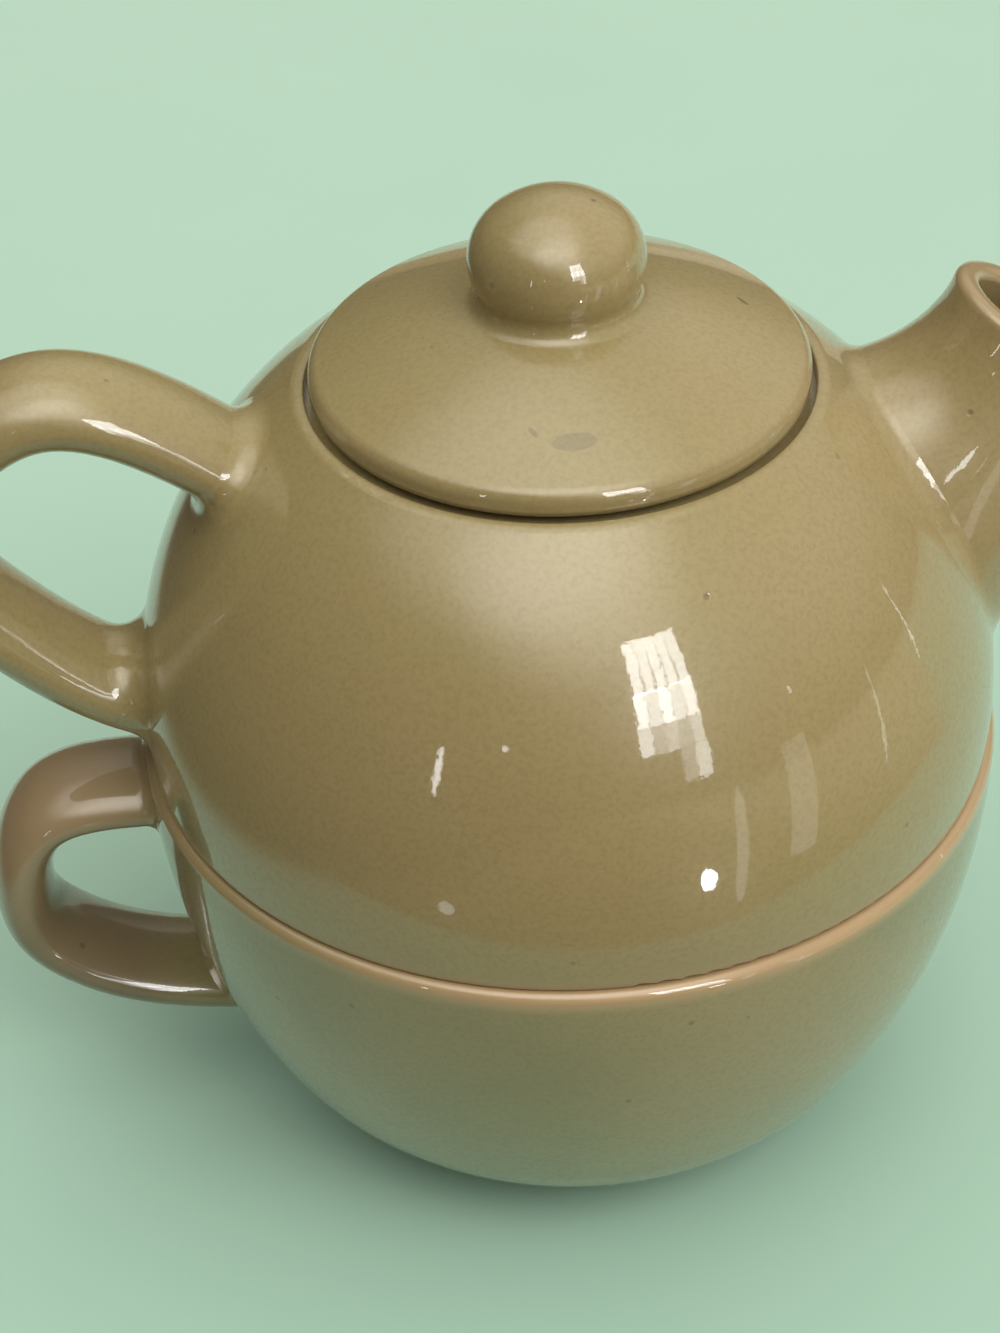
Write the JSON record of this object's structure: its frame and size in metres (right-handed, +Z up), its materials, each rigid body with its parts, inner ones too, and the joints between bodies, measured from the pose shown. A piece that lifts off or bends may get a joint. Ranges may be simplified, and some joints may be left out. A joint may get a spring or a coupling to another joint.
{
  "type": "tea for one teapot",
  "caption": "Stacking tea for one in glossy glazed ceramic: a ball shaped teapot with lid, loop handle and short spout stands on the rim of its matching cup.",
  "frame": {"origin": "centre of the cup's foot, on the plane that it stands on", "axes": "+Z up along the axis that cup, teapot and lid share; the spout points along +X, both handles along -X"},
  "size_m": [0.1568, 0.1174, 0.1418],
  "materials": {
    "cup_glaze": "high gloss taupe glaze",
    "teapot_glaze": "high gloss taupe glaze",
    "lid_glaze": "high gloss taupe glaze"
  },
  "bodies": {
    "root": {"cup": "cup_glaze", "teapot": "teapot_glaze", "lid": "lid_glaze"}
  },
  "joints": []
}
